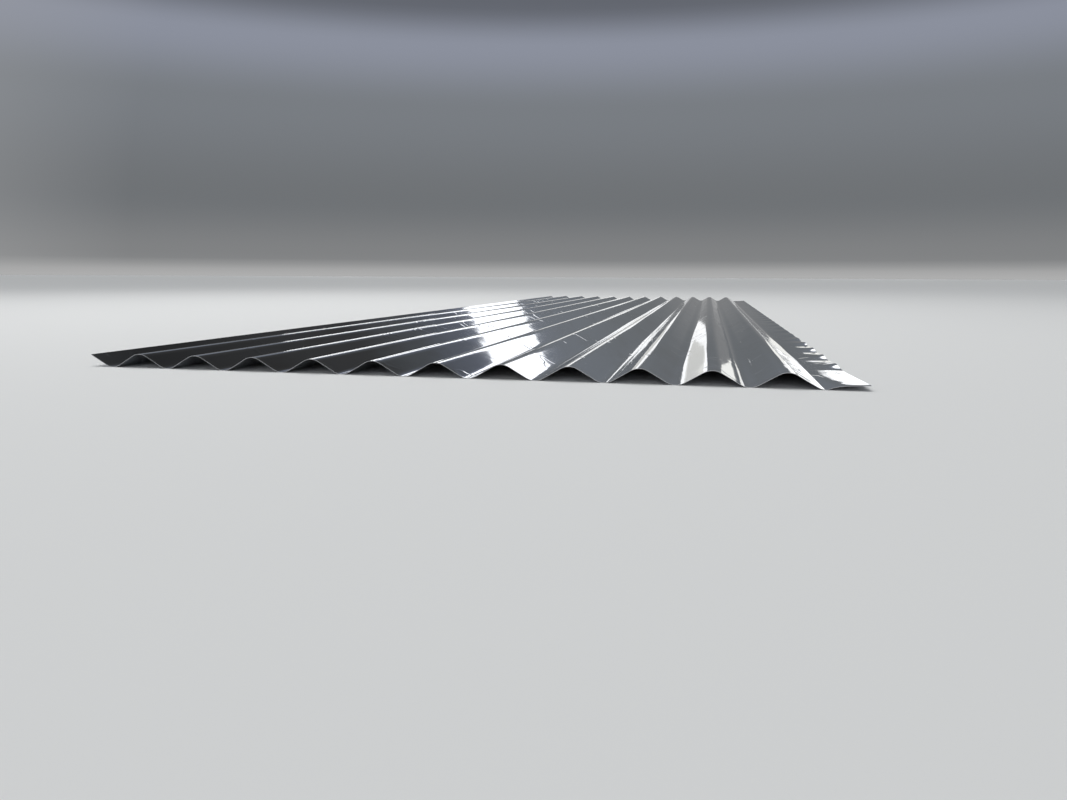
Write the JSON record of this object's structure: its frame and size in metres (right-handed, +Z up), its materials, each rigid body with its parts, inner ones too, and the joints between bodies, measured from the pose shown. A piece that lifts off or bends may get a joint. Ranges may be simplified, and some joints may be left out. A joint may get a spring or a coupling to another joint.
{
  "type": "corrugated metal sheet",
  "caption": "Long bright galvanised steel sheet with eleven round corrugations along its length, one raised side edge and one flat lap lip, for roofing and cladding.",
  "frame": {"origin": "middle of the sheet's underside, at the level of the troughs it lies on", "axes": "+Z up, square to the sheet; +Y along the corrugations, which is its length; +X across them, towards the flat lap lip"},
  "size_m": [0.9082, 3, 0.017],
  "materials": {
    "galvanised_steel": "bright galvanised, near mirror, with faint rolling marks"
  },
  "bodies": {
    "root": {"corrugated_sheet": "galvanised_steel"}
  },
  "joints": []
}
